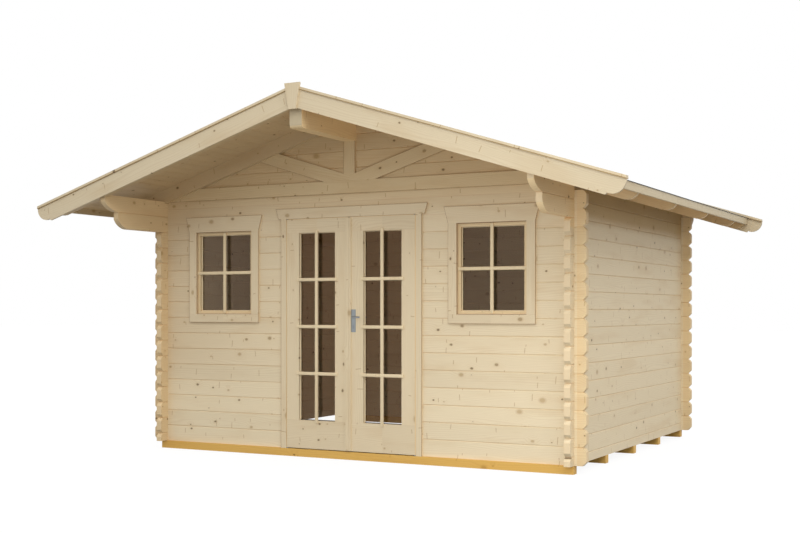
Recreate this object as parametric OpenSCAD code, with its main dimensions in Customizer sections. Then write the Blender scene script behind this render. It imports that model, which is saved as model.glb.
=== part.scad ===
// Garden house of interlocked logs under a low gabled roof, with a glazed double door
// and two windows in its front.
// Millimetres, +Z up. The front faces -Y. x = 0 is the middle of the front, y = 0 the
// middle of the roof from front to back, and z = 0 the level that the joists stand on.

/* [Joists] */
// Height of a foundation joist
joist_h = 65; // [50:1:90]
// Width of a foundation joist
joist_w = 70; // [60:1:90]
// How many joists carry the house
joist_count = 5; // [4:1:7]
// How far the first joist stands out in front of the front wall
joist_lip = 20; // [20:1:35]
// How far the last joist stays back from the back wall's outer face
joist_inset = 22; // [0:1:40]

/* [Log walls] */
// Width over the outer faces of the side walls
wall_w = 3860; // [3500:10:4300]
// Depth over the outer faces of the front and back walls
wall_d = 3100; // [2600:10:3600]
// Thickness of a log
log_t = 50; // [40:1:60]
// Height of one course of logs
log_h = 137; // [128:1:146]
// Courses of logs in the front wall
courses = 15; // [14:1:17]
// Depth of the groove along a seam
groove = 5; // [2:0.5:8]
// How far the front and back logs run past the side walls
front_log_end = 93; // [70:1:150]
// How far the side logs run past the front and back walls
side_log_end = 95; // [60:1:120]
// Height of the cut corners at a log's end
end_cut_h = 31; // [15:1:45]
// Depth of the cut corners at a log's end
end_cut_d = 30; // [15:1:45]
// Turn of the upper corner's curve, where 0 would be a straight cut and 90 a quarter round
end_turn = 42; // [20:2:90]

/* [Brackets] */
// How far the upper bracket log's tip stands back from the end of the roof boards
bracket_setback = 20; // [0:5:40]
// How much shorter the lower bracket log is than the upper one
bracket_step = 160; // [100:5:250]
// Length of the curved cut under the lower bracket log's tip
bracket_cut_l = 125; // [60:5:150]
// Height of the curved cut under each bracket log's tip
bracket_cut_h = 80; // [50:1:110]
// Turn of that curve, where 0 would be a straight cut and 90 a quarter round
bracket_turn = 58; // [20:2:90]

/* [Roof frame] */
// Pitch of the roof in degrees
pitch = 17.5; // [15:0.5:22]
// From the front wall's outer face to the front of the bargeboards
front_overhang = 860; // [700:10:1000]
// From the back wall's outer face to the back of the bargeboards
rear_overhang = 475; // [350:5:600]
// From a side wall's outer face to the bargeboard's tip
eave_overhang = 665; // [500:5:800]
// How far the bargeboard's tip stands out past the fascia
tip_past_fascia = 138; // [60:1:200]
// Depth of a rafter, square to the slope
rafter_h = 118; // [95:1:145]
// Thickness of a rafter
rafter_t = 45; // [35:1:60]
// Pairs of rafters between the front and back walls
middle_pairs = 2; // [1:1:3]
// Depth of the rafter's notch over the inner edge of the side wall
seat_cut = 18; // [8:1:28]
// Radius of the rounding under a rafter's tail
tail_r = 88; // [60:1:92]
// Width of the ridge purlin
purlin_w = 110; // [80:1:140]
// Height of the ridge purlin at its sides
purlin_h = 137; // [110:1:160]
// How far the purlin's ends stay back from the bargeboards
purlin_setback = 15; // [2:1:40]

/* [Roof covering] */
// Thickness of the roof boards
deck_t = 17; // [15:1:22]
// Thickness of the roofing felt
felt_t = 3; // [2:0.5:5]
// How far the felt hangs over the fascia
felt_drip = 6; // [2:1:15]
// Thickness of the bargeboards
barge_t = 20; // [16:1:28]
// Radius of the rounded lobe at a bargeboard's tip
barge_lobe_r = 95; // [60:1:110]
// Thickness of the fascia along the eaves
fascia_t = 20; // [16:1:26]
// Height of the fascia
fascia_h = 62; // [45:1:75]
// Width of the batten along a roof edge
batten_w = 52; // [40:1:70]
// Thickness of the batten along a roof edge
batten_t = 22; // [10:1:24]
// How far the batten stands out past the bargeboard
batten_lip = 8; // [2:1:16]
// Height of the finial board
finial_h = 198; // [150:1:240]
// Width of the finial board at its top
finial_w = 136; // [100:1:170]
// Width of the finial board at its foot
finial_foot_w = 68; // [40:1:95]
// How far the finial stands up over the battens
finial_rise = 13; // [5:1:40]

/* [Gable boards] */
// Thickness of casings, gable boards and the finial
trim_t = 20; // [15:1:26]
// Height of the tie board
tie_h = 104; // [80:1:130]
// From the top of the wall's last course to the tie board
tie_rise = 64; // [20:1:90]
// Width of the king post
king_w = 104; // [80:1:130]
// Width of a strut, square to its length
strut_w = 112; // [80:1:130]
// Height of the struts' lower edge over the tie board's foot at the middle
strut_foot = 27; // [10:1:45]

/* [Door] */
// Clear width between the door's casings
door_w = 1225; // [1100:5:1300]
// How far the door frame is let into the top log
head_notch = 35; // [32:1:50]
// Thickness of the door frame
frame_t = 27; // [22:1:30]
// How far the frame's stop reaches in behind the leaves
stop_w = 15; // [10:1:22]
// Thickness of a leaf
leaf_t = 40; // [36:1:44]
// Gap between a leaf and what is round it
leaf_gap = 5.5; // [5:0.5:8]
// Gap between the two leaves
meeting_gap = 8; // [8:0.5:12]
// Width of the stile at the hinges
hinge_stile = 122; // [90:1:150]
// Width of the stile where the leaves meet
meeting_stile = 130; // [110:1:160]
// Height of a leaf's top rail
top_rail = 115; // [90:1:150]
// Height of a leaf's bottom rail
bottom_rail = 235; // [180:1:300]
// Rows of panes in a leaf
pane_rows = 4; // [3:1:5]
// Width of the door's casing
door_casing_w = 50; // [40:1:70]
// Height of the board over the door
door_head_h = 84; // [60:1:100]
// How far the door's head board reaches past the casing at its foot
door_head_lap = 25; // [0:1:40]
// How much wider each side of the door's head board is at its top
door_head_flare = 26; // [0:1:50]
// Width of the strip that covers the joint of the leaves
astragal_w = 38; // [30:1:50]

/* [Windows] */
// From the middle of the front to the middle of a window
window_x = 1261; // [1150:1:1400]
// Clear width inside a window's casing
window_w = 588; // [480:2:640]
// Clear height inside a window's casing
window_h = 713; // [560:1:820]
// From the top log's underside to the top of that clear height
window_drop = 78; // [40:1:120]
// Width of a window's casing
window_casing_w = 70; // [50:1:85]
// Width of the sash that shows inside the casing
sash_w = 28; // [20:1:50]
// How deep the sash stands behind the wall's outer face
sash_set = 8; // [0:1:15]
// Thickness of the sash
sash_t = 42; // [34:1:44]
// Height of the board over a window
window_head_h = 130; // [80:1:150]
// How much wider each side of a window's head board is at its top
window_head_flare = 35; // [0:1:60]

/* [Glass and bars] */
// Thickness of the glass
glass_t = 4; // [3:0.5:6]
// How deep the glass stands behind the face of its leaf or sash
glass_set = 28; // [14:1:30]
// Width of a glazing bar
bar_w = 26; // [18:1:34]
// How far a glazing bar stands out from its leaf or sash
bar_t = 10; // [6:1:14]
// How far a glazing bar laps over its leaf or sash
bar_lap = 22; // [10:1:26]

/* [Door fittings] */
// Radius of a door's pivot pins
pin_r = 3.5; // [2.5:0.5:4]
// Length of a pivot pin inside the leaf
pin_l = 25; // [15:1:40]
// Radius of the rounded edge at the hinges, round the pivot's axis
pivot_edge_r = 6; // [5.5:0.5:8]
// Width of a lock plate
plate_w = 46; // [36:1:50]
// Height of a lock plate
plate_h = 185; // [150:1:220]
// Thickness of a lock plate
plate_t = 3; // [2:0.5:5]
// Height of the lever's axis over the joists
lever_z = 1103; // [950:1:1250]
// How far the lever's axis stands from the leaf's free edge
lever_inset = 36; // [34:1:46]
// Length of the lever from its axis
lever_l = 80; // [55:1:110]
// Radius of the lever's bar
lever_r = 7; // [5:0.5:9]
// How far the lever stands off the lock plate
lever_reach = 32; // [24:1:45]
// Radius of the spindle that joins the two levers
spindle_r = 5; // [4:0.5:6]

/* [Fits] */
// Gap between a turning round piece and its seat
turn_gap = 0.3; // [0.2:0.05:0.5]
// Gap under the felt, and again between the felt and the battens
felt_gap = 0.3; // [0.2:0.05:0.5]

/* [Hidden] */

$fn = 48;
log_color = "#e3cfa4";
trim_color = "#ead7ae";
roof_color = "#d8bf90";
joist_color = "#c79a4b";
felt_color = "#4b525c";
steel_color = "#9aa0a3";
glass_color = [0.75, 0.82, 0.84, 0.35];

// Steps in a quarter turn of a rounded outline
arc_steps = 4;
// Past the faces of whatever is cut through
past = 1;

// Walls
side_x = wall_w / 2;
side_inner_x = side_x - log_t;
front_y = -(wall_d + rear_overhang - front_overhang) / 2;
front_inner_y = front_y + log_t;
back_y = front_y + wall_d;
back_inner_y = back_y - log_t;
wall_z = joist_h;
front_top_z = wall_z + courses * log_h;
side_top_z = front_top_z + log_h / 2;
top_log_z = front_top_z - log_h;
face_y = front_y - trim_t;

// Roof
slope = tan(pitch);
rise = 1 / cos(pitch);
ridge_z = side_top_z - seat_cut + slope * side_inner_x + (deck_t + rafter_h) * rise;
tip_x = side_x + eave_overhang;
fascia_x = tip_x - tip_past_fascia;
tail_x = fascia_x - fascia_t;
roof_front_y = front_y - front_overhang;
roof_back_y = back_y + rear_overhang;
deck_front_y = roof_front_y + barge_t;
deck_back_y = roof_back_y - barge_t;
purlin_z = rafter_foot(purlin_w / 2) - purlin_h;
batten_low = 2 * felt_gap + felt_t;
finial_top_z = deck_top(0) + (batten_low + batten_t) * rise + finial_rise;
tie_z = front_top_z + tie_rise;
tie_top_z = tie_z + tie_h;
strut_line_z = tie_z + strut_foot;

// Door
frame_inner_x = door_w / 2;
frame_outer_x = frame_inner_x + frame_t;
frame_top_z = top_log_z + head_notch;
door_head_z = frame_top_z - frame_t;
leaf_face_y = face_y;
leaf_back_y = leaf_face_y + leaf_t;
leaf_outer_x = frame_inner_x - leaf_gap;
leaf_inner_x = meeting_gap / 2;
leaf_z = joist_h + leaf_gap + 1.5;
leaf_top_z = door_head_z - leaf_gap;
stop_y = leaf_back_y + leaf_gap;
pane_low_x = leaf_inner_x + meeting_stile;
pane_high_x = leaf_outer_x - hinge_stile;
pane_low_z = leaf_z + bottom_rail;
pane_high_z = leaf_top_z - top_rail;
pivot_x = leaf_outer_x - pivot_edge_r;
pivot_y = leaf_face_y + pivot_edge_r;
lever_x = leaf_inner_x + lever_inset;
lever_axis_z = joist_h + lever_z;

// Windows
window_top_z = top_log_z - window_drop;
window_low_z = window_top_z - window_h;
sash_hidden = 8;
sash_y = front_y + sash_set;
window_half = window_w / 2;
casing_half = window_half + window_casing_w;

// Heights of the roof's planes at a distance x from the ridge
function deck_top(x) = ridge_z - slope * abs(x);
function felt_top(x) = deck_top(x) + (felt_gap + felt_t) * rise;
function deck_under(x) = deck_top(x) - deck_t * rise;
function rafter_foot(x) = deck_under(x) - rafter_h * rise;

// Points along an ellipse with half axes a and b
function arc(cx, cz, a, b, from, to, steps) =
    [for (i = [0:steps]) let (t = from + (to - from) * i / steps) [cx + a * cos(t), cz + b * sin(t)]];

function reversed(list) = [for (i = [len(list) - 1:-1:0]) list[i]];

// A corner cut off in a shallow curve, from the end face at x back to the seam at height z.
// It takes off depth and height (a lower corner's height is negative); side is +1 or -1.
function curved_cut(x, side, z, depth, height, turn, steps) =
    let (first = 45 - turn / 2, last = 45 + turn / 2) [
        for (s = [0:steps]) let (t = first + turn * s / steps) [
            x - side * depth * (cos(first) - cos(t)) / (cos(first) - cos(last)),
            z - height * (sin(last) - sin(t)) / (sin(last) - sin(first))
        ]
    ];

function upper_corner(x, side, top) = curved_cut(x, side, top, end_cut_d, end_cut_h, end_turn, arc_steps);

// Outline of a stack of log ends, upwards: each lower corner is cut straight and each upper one curves.
// side is +1 or -1, and rows are [low, high, square foot].
function log_ends(x, side, rows) = [
    for (i = [0:len(rows) - 1]) let (row = rows[i]) each concat(
        i == 0 && !row[2] ? [[x - side * end_cut_d, row[0]]] : [],
        row[2] ? [[x, row[0]]] : [[x, row[0] + end_cut_h]],
        upper_corner(x, side, row[1])
    )
];

// Courses of the front and back walls, from course first up to course last
function front_rows(first, last) =
    [for (k = [first:last]) [wall_z + k * log_h, wall_z + (k + 1) * log_h, false]];
front_seams = [for (k = [1:courses + 6]) wall_z + k * log_h];
side_seams = [for (k = [0:courses - 1]) wall_z + (k + 0.5) * log_h];

module block(low, high) {
    translate(low) cube(high - low);
}

// Extrudes an outline drawn in x and z from y_low to y_high
module slab_xz(y_low, y_high) {
    translate([0, y_high, 0]) rotate([90, 0, 0]) linear_extrude(y_high - y_low) children();
}

// Extrudes an outline drawn in y and z from x_low to x_high
module slab_yz(x_low, x_high) {
    translate([x_low, 0, 0]) rotate([90, 0, 90]) linear_extrude(x_high - x_low) children();
}

// A wall's section across its thickness, with a V groove at each seam between low and high
module grooved_section(from, low, high, seams) {
    inside = [for (z = seams) if (z > low + groove && z < high - groove) z];
    polygon(concat(
        [[from, low]],
        [for (z = inside) each [[from, z - groove], [from + groove, z], [from, z + groove]]],
        [[from, high], [from + log_t, high]],
        [for (z = reversed(inside)) let (x = from + log_t) each
            [[x, z + groove], [x - groove, z], [x, z - groove]]],
        [[from + log_t, low]]
    ));
}

// What the side logs take out of a front or back wall where they pass through it
module side_log_laps(y_low, first, last) {
    for (side = [-1, 1]) for (k = [first:last])
        translate([side * (side_x - log_t / 2), y_low + log_t / 2, wall_z + k * log_h])
            cube([log_t, log_t + 2 * past, log_h / 2], center = true);
}

// What the front and back logs take out of a side wall where they pass through it
module front_log_laps() {
    for (y = [front_y, back_inner_y]) {
        for (k = [0:courses - 1])
            block([-side_x - past, y, wall_z + (k + 0.25) * log_h],
                [side_x + past, y + log_t, wall_z + (k + 0.75) * log_h]);
        block([-side_x - past, y, front_top_z + log_h / 4],
            [side_x + past, y + log_t, side_top_z + past]);
    }
}

// Logs of a front or back wall with the outline given in x and z
module front_logs(y_low, low, high, first_lap, last_lap) {
    difference() {
        intersection() {
            slab_xz(y_low, y_low + log_t) children();
            slab_yz(-tip_x, tip_x) grooved_section(y_low, low, high, front_seams);
        }
        side_log_laps(y_low, first_lap, last_lap);
    }
}

module floor_joists() {
    pitch_y = (wall_d + joist_lip - joist_inset - joist_w) / (joist_count - 1);
    color(joist_color) for (i = [0:joist_count - 1])
        translate([-side_x, front_y - joist_lip + i * pitch_y, 0]) cube([wall_w, joist_w, joist_h]);
}

// The front wall beside the door, with its window cut through. side is -1 or 1.
module front_wall(side) {
    rows = front_rows(0, courses - 2);
    color(log_color) difference() {
        front_logs(front_y, wall_z, top_log_z, 0, courses - 1)
            polygon(concat(
                [[side * frame_outer_x, wall_z]],
                log_ends(side * (side_x + front_log_end), side, rows),
                [[side * frame_outer_x, top_log_z]]
            ));
        window_hole(side);
    }
}

module window_hole(side) {
    translate([side * window_x - window_half - sash_hidden, front_y - past, window_low_z - sash_hidden])
        cube([window_w + 2 * sash_hidden, log_t + 2 * past, window_h + 2 * sash_hidden]);
}

module front_wall_left() { front_wall(-1); }
module front_wall_right() { front_wall(1); }

// The last full course runs over the door from corner to corner
module front_top_log() {
    rows = front_rows(courses - 1, courses - 1);
    end_x = side_x + front_log_end;
    color(log_color) difference() {
        front_logs(front_y, top_log_z, front_top_z, courses - 1, courses)
            polygon(concat(log_ends(end_x, 1, rows), reversed(log_ends(-end_x, -1, rows))));
        block([-frame_outer_x, front_y - past, top_log_z - past],
            [frame_outer_x, front_inner_y + past, frame_top_z]);
    }
}

module back_wall() {
    rows = front_rows(0, courses - 1);
    end_x = side_x + front_log_end;
    color(log_color) front_logs(back_inner_y, wall_z, front_top_z, 0, courses)
        polygon(concat(log_ends(end_x, 1, rows), reversed(log_ends(-end_x, -1, rows))));
}

// The triangle of logs over a front or back wall, open for the ridge purlin
module gable(y_low) {
    color(log_color) difference() {
        front_logs(y_low, front_top_z, ridge_z, courses, courses)
            polygon([
                [-side_x, front_top_z], [side_x, front_top_z], [side_x, deck_under(side_x)],
                [0, deck_under(0)], [-side_x, deck_under(side_x)],
            ]);
        purlin_beam(y_low - past, y_low + log_t + past);
    }
}

module front_gable() { gable(front_y); }
module back_gable() { gable(back_inner_y); }

// Points under the tip of a bracket log, from its tip down to its underside
function bracket_tip(y, side, low, length) =
    curved_cut(y, side, low, length, -bracket_cut_h, bracket_turn, 2 * arc_steps);

// A side wall: a half log, full logs, and a top that runs out under both ends of the roof
module side_wall(side) {
    x_low = side > 0 ? side_inner_x : -side_x;
    bracket_y = deck_front_y + bracket_setback;
    last_z = side_seams[courses - 1];
    second_z = side_seams[courses - 2];
    rows = concat(
        [[wall_z, side_seams[0], true]],
        [for (k = [0:courses - 3]) [side_seams[k], side_seams[k + 1], false]]
    );
    back_rows = concat(rows, [[second_z, last_z, false]]);
    outline = concat(
        log_ends(back_y + side_log_end, 1, back_rows),
        reversed(bracket_tip(deck_back_y - bracket_setback, 1, last_z, bracket_step)),
        [[deck_back_y - bracket_setback, side_top_z], [bracket_y, side_top_z]],
        bracket_tip(bracket_y, -1, last_z, bracket_step),
        bracket_tip(bracket_y + bracket_step, -1, second_z, bracket_cut_l),
        reversed(log_ends(front_y - side_log_end, -1, rows))
    );
    color(log_color) difference() {
        intersection() {
            slab_yz(x_low, x_low + log_t) polygon(outline);
            slab_xz(roof_front_y, roof_back_y) grooved_section(x_low, wall_z, side_top_z, side_seams);
        }
        front_log_laps();
    }
}

module left_wall() { side_wall(-1); }
module right_wall() { side_wall(1); }

module purlin_beam(y_low, y_high) {
    half = purlin_w / 2;
    slab_xz(y_low, y_high) polygon([
        [-half, purlin_z], [half, purlin_z], [half, rafter_foot(half)],
        [0, rafter_foot(0)], [-half, rafter_foot(half)],
    ]);
}

// The beam under the ridge, rounded under both ends
module ridge_purlin() {
    first_y = deck_front_y + purlin_setback;
    last_y = deck_back_y - purlin_setback;
    round_z = purlin_z + end_cut_h;
    color(log_color) intersection() {
        purlin_beam(first_y - past, last_y + past);
        slab_yz(-purlin_w, purlin_w) polygon(concat(
            arc(first_y + end_cut_d, round_z, end_cut_d, end_cut_h, 270, 180, arc_steps),
            [[first_y, ridge_z], [last_y, ridge_z]],
            arc(last_y - end_cut_d, round_z, end_cut_d, end_cut_h, 0, -90, arc_steps)
        ));
    }
}

// Half a roof member from the ridge down to its rounded tail at x = end
module rafter_outline(end) {
    lobe = arc(end - tail_r, deck_under(end), tail_r, tail_r, 0, -105, 3 * arc_steps);
    lobe_x = lobe[len(lobe) - 1][0];
    polygon(concat(
        [[0, deck_under(0)]],
        lobe,
        [[lobe_x - 8, rafter_foot(lobe_x - 8)], [0, rafter_foot(0)]]
    ));
}

// Front faces of the rafters, from front to back
rafter_step = (back_y - front_y + rafter_t) / (middle_pairs + 1);
rafter_ys = concat(
    [deck_front_y],
    [for (i = [0:middle_pairs + 1]) front_y - rafter_t + i * rafter_step],
    [deck_back_y - rafter_t]
);

module rafters(side) {
    color(roof_color) difference() {
        mirror([side > 0 ? 0 : 1, 0, 0]) for (y = rafter_ys) slab_xz(y, y + rafter_t) rafter_outline(tail_x);
        for (x = [-side_x, side_inner_x])
            block([x, roof_front_y, wall_z], [x + log_t, roof_back_y, side_top_z]);
    }
}

module rafters_left() { rafters(-1); }
module rafters_right() { rafters(1); }

// Boards that close the gap between the side walls and the roof boards, between the rafters
module eave_blocking() {
    color(roof_color) for (side = [-1, 1]) for (i = [0:middle_pairs]) {
        y_low = i == 0 ? front_inner_y : rafter_ys[i + 1] + rafter_t;
        y_high = i == middle_pairs ? back_inner_y : rafter_ys[i + 2];
        slab_xz(y_low, y_high) polygon([
            [side * side_x, side_top_z], [side * (side_x - fascia_t), side_top_z],
            [side * (side_x - fascia_t), deck_under(side_x - fascia_t)],
            [side * side_x, deck_under(side_x)],
        ]);
    }
}

// A sloping slab of the roof between two heights over the deck's top, from the ridge to x = end
module roof_slab(side, low, high, end, y_low, y_high) {
    slab_xz(y_low, y_high) polygon([
        [0, deck_top(0) + low * rise], [side * end, deck_top(end) + low * rise],
        [side * end, deck_top(end) + high * rise], [0, deck_top(0) + high * rise],
    ]);
}

module roof_deck(side) {
    color(roof_color) roof_slab(side, -deck_t, 0, tail_x, deck_front_y, deck_back_y);
}

module roof_deck_left() { roof_deck(-1); }
module roof_deck_right() { roof_deck(1); }

module roof_felt(side) {
    color(felt_color)
        roof_slab(side, felt_gap, felt_gap + felt_t, fascia_x + felt_drip, deck_front_y, deck_back_y);
}

module roof_felt_left() { roof_felt(-1); }
module roof_felt_right() { roof_felt(1); }

module fascia_boards() {
    color(trim_color) for (side = [-1, 1])
        slab_xz(deck_front_y, deck_back_y) polygon([
            [side * tail_x, deck_top(tail_x)], [side * fascia_x, deck_top(fascia_x)],
            [side * fascia_x, deck_top(fascia_x) - fascia_h], [side * tail_x, deck_top(fascia_x) - fascia_h],
        ]);
}

// Half a bargeboard, with its round lobe at the tip and a small step behind the lobe
module bargeboard_outline() {
    lobe = arc(tip_x - barge_lobe_r, felt_top(tip_x), barge_lobe_r, barge_lobe_r, 0, -115, 3 * arc_steps);
    lobe_x = lobe[len(lobe) - 1][0] - 12;
    polygon(concat(
        [[0, felt_top(0)]],
        lobe,
        [[lobe_x, rafter_foot(lobe_x)], [0, rafter_foot(0)]]
    ));
}

module bargeboard(side, y) {
    color(trim_color) mirror([side > 0 ? 0 : 1, 0, 0])
        slab_xz(y, y + barge_t) bargeboard_outline();
}

module bargeboard_front_left() { bargeboard(-1, roof_front_y); }
module bargeboard_front_right() { bargeboard(1, roof_front_y); }
module bargeboard_back_left() { bargeboard(-1, deck_back_y); }
module bargeboard_back_right() { bargeboard(1, deck_back_y); }

module edge_battens(side) {
    color(trim_color) difference() {
        for (y = [roof_front_y - batten_lip, roof_back_y + batten_lip - batten_w])
            roof_slab(side, batten_low, batten_low + batten_t, tip_x, y, y + batten_w);
        finial_boards();
    }
}

module edge_battens_left() { edge_battens(-1); }
module edge_battens_right() { edge_battens(1); }

// A tapered board over the joint of the bargeboards, at the front and at the back
module finial_boards() {
    for (y = [roof_front_y - trim_t, roof_back_y])
        slab_xz(y, y + trim_t) polygon([
            [-finial_foot_w / 2, finial_top_z - finial_h], [finial_foot_w / 2, finial_top_z - finial_h],
            [finial_w / 2, finial_top_z], [-finial_w / 2, finial_top_z],
        ]);
}

module finials() {
    color(trim_color) finial_boards();
}

// Where the rafters' underside crosses the height z
function under_rafter_x(z) = (rafter_foot(0) - z) / slope;

module gable_tie_board() {
    color(trim_color) slab_xz(face_y, front_y) polygon([
        [-under_rafter_x(tie_z), tie_z], [under_rafter_x(tie_z), tie_z],
        [under_rafter_x(tie_top_z), tie_top_z], [-under_rafter_x(tie_top_z), tie_top_z],
    ]);
}

// Height of a strut's upper edge at x
function strut_top(x) = strut_line_z + strut_w * rise + slope * x;

module gable_king_post() {
    half = king_w / 2;
    color(trim_color) slab_xz(face_y, front_y) polygon([
        [-half, purlin_z], [-half, strut_top(half)], [0, strut_top(0)], [half, strut_top(half)],
        [half, purlin_z],
    ]);
}

// A strut rises outwards from the foot of the king post to the rafter
module gable_strut(side) {
    foot_x = (tie_top_z - strut_line_z) / slope;
    low_x = (rafter_foot(0) - strut_line_z) / (2 * slope);
    high_x = (rafter_foot(0) - strut_top(0)) / (2 * slope);
    color(trim_color) slab_xz(face_y, front_y) polygon([
        [0, tie_top_z], [side * foot_x, tie_top_z], [side * low_x, rafter_foot(low_x)],
        [side * high_x, rafter_foot(high_x)], [0, strut_top(0)],
    ]);
}

module gable_strut_left() { gable_strut(-1); }
module gable_strut_right() { gable_strut(1); }

// A board over an opening, wider at its top than at its foot
module head_board(x, low, high, half, flare) {
    slab_xz(face_y, front_y) polygon([
        [x - half, low], [x + half, low], [x + half + flare, high], [x - half - flare, high],
    ]);
}

module head_boards() {
    door_half = frame_inner_x + door_casing_w + door_head_lap;
    color(trim_color) {
        head_board(0, door_head_z, door_head_z + door_head_h, door_half, door_head_flare);
        for (side = [-1, 1])
            head_board(side * window_x, window_top_z, window_top_z + window_head_h,
                casing_half, window_head_flare);
    }
}

// Jambs, head and threshold, with the stop that the leaves close against
module door_frame() {
    color(trim_color) difference() {
        block([-frame_outer_x, front_y, joist_h], [frame_outer_x, front_inner_y, frame_top_z]);
        block([-frame_inner_x, front_y - past, joist_h - past],
            [frame_inner_x, stop_y, door_head_z]);
        block([-frame_inner_x + stop_w, front_y - past, joist_h + stop_w],
            [frame_inner_x - stop_w, front_inner_y + past, door_head_z - stop_w]);
    }
}

module door_casing() {
    color(trim_color) for (side = [-1, 1])
        translate([side * (frame_inner_x + door_casing_w / 2) - door_casing_w / 2, face_y, joist_h])
            cube([door_casing_w, trim_t, door_head_z - joist_h]);
}

// A glazing bar between two points on a leaf's or sash's face, with its ends lapped over it
module glazing_bars(x_low, x_high, z_low, z_high, y, rows) {
    row_h = (z_high - z_low) / rows;
    middle = (x_low + x_high) / 2;
    block([middle - bar_w / 2, y - bar_t, z_low - bar_lap], [middle + bar_w / 2, y, z_high + bar_lap]);
    for (i = [1:rows - 1])
        block([x_low - bar_lap, y - bar_t, z_low + i * row_h - bar_w / 2],
            [x_high + bar_lap, y, z_low + i * row_h + bar_w / 2]);
}

// A leaf as it hangs on the right, with holes for its pivot pins
module leaf() {
    difference() {
        union() {
            block([leaf_inner_x, leaf_face_y, leaf_z], [pivot_x, leaf_back_y, leaf_top_z]);
            block([pivot_x, pivot_y, leaf_z], [leaf_outer_x, leaf_back_y, leaf_top_z]);
            translate([pivot_x, pivot_y, leaf_z]) cylinder(r = pivot_edge_r, h = leaf_top_z - leaf_z);
        }
        block([pane_low_x, leaf_face_y - past, pane_low_z],
            [pane_high_x, leaf_back_y + past, pane_high_z]);
        for (z = [leaf_z - past, leaf_top_z - pin_l - turn_gap])
            translate([pivot_x, pivot_y, z]) cylinder(r = pin_r + turn_gap, h = pin_l + turn_gap + past);
    }
    glazing_bars(pane_low_x, pane_high_x, pane_low_z, pane_high_z, leaf_face_y, pane_rows);
}

module door_leaf_left() {
    color(trim_color) {
        mirror([1, 0, 0]) leaf();
        block([-leaf_inner_x - astragal_w, leaf_face_y - bar_t, leaf_z],
            [-leaf_inner_x, leaf_face_y, leaf_top_z]);
    }
}

module door_leaf_right() {
    color(trim_color) difference() {
        leaf();
        translate([lever_x, leaf_face_y - past, lever_axis_z]) rotate([-90, 0, 0])
            cylinder(r = spindle_r + turn_gap, h = leaf_t + 2 * past);
    }
}

module door_glass(side) {
    middle = side * (pane_low_x + pane_high_x) / 2;
    half = (pane_high_x - pane_low_x) / 2;
    color(glass_color) block([middle - half, leaf_face_y + glass_set, pane_low_z],
        [middle + half, leaf_face_y + glass_set + glass_t, pane_high_z]);
}

module door_glass_left() { door_glass(-1); }
module door_glass_right() { door_glass(1); }

// Pins at the foot and head of each leaf. A collar carries the leaf.
module hinge_pins() {
    color(steel_color) for (side = [-1, 1]) {
        translate([side * pivot_x, pivot_y, joist_h]) {
            cylinder(r = pin_r, h = leaf_z - joist_h + pin_l);
            cylinder(r = pivot_edge_r - 1, h = leaf_z - joist_h - turn_gap);
        }
        translate([side * pivot_x, pivot_y, leaf_top_z - pin_l]) cylinder(r = pin_r, h = pin_l + leaf_gap);
    }
}

// A plate on each face of the right leaf, with a hole for the spindle
module lock_plates() {
    color(steel_color) difference() {
        for (y = [leaf_face_y - plate_t, leaf_back_y])
            translate([lever_x - plate_w / 2, y, lever_axis_z - plate_h * 0.66])
                cube([plate_w, plate_t, plate_h]);
        translate([lever_x, leaf_face_y - plate_t - past, lever_axis_z]) rotate([-90, 0, 0])
            cylinder(r = spindle_r + turn_gap, h = leaf_t + 2 * (plate_t + past));
    }
}

// Two levers on one spindle through the leaf
module door_lever() {
    reach = plate_t + lever_reach;
    color(steel_color) {
        translate([lever_x, leaf_face_y - reach, lever_axis_z]) rotate([-90, 0, 0])
            cylinder(r = spindle_r, h = leaf_t + 2 * reach);
        for (y = [leaf_face_y - reach, leaf_back_y + reach])
            translate([lever_x, y, lever_axis_z]) {
                rotate([0, 90, 0]) cylinder(r = lever_r, h = lever_l - lever_r);
                sphere(r = lever_r);
                translate([lever_l - lever_r, 0, 0]) sphere(r = lever_r);
            }
    }
}

module window_casing(side) {
    low = window_low_z - window_casing_w;
    color(trim_color) difference() {
        block([side * window_x - casing_half, face_y, low],
            [side * window_x + casing_half, front_y, window_top_z]);
        block([side * window_x - window_half, face_y - past, window_low_z],
            [side * window_x + window_half, front_y + past, window_top_z + past]);
    }
}

module window_casing_left() { window_casing(-1); }
module window_casing_right() { window_casing(1); }

// A sash in its frame, with a cross of bars on its face
module window_sash(side) {
    outer = window_half + sash_hidden;
    inner = window_half - sash_w;
    color(trim_color) translate([side * window_x, 0, 0]) {
        difference() {
            block([-outer, sash_y, window_low_z - sash_hidden],
                [outer, sash_y + sash_t, window_top_z + sash_hidden]);
            block([-inner, sash_y - past, window_low_z + sash_w],
                [inner, sash_y + sash_t + past, window_top_z - sash_w]);
        }
        glazing_bars(-inner, inner, window_low_z + sash_w, window_top_z - sash_w, sash_y, 2);
    }
}

module window_sash_left() { window_sash(-1); }
module window_sash_right() { window_sash(1); }

module window_glass(side) {
    inner = window_half - sash_w;
    color(glass_color) translate([side * window_x, 0, 0])
        block([-inner, sash_y + glass_set, window_low_z + sash_w],
            [inner, sash_y + glass_set + glass_t, window_top_z - sash_w]);
}

module window_glass_left() { window_glass(-1); }
module window_glass_right() { window_glass(1); }

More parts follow.
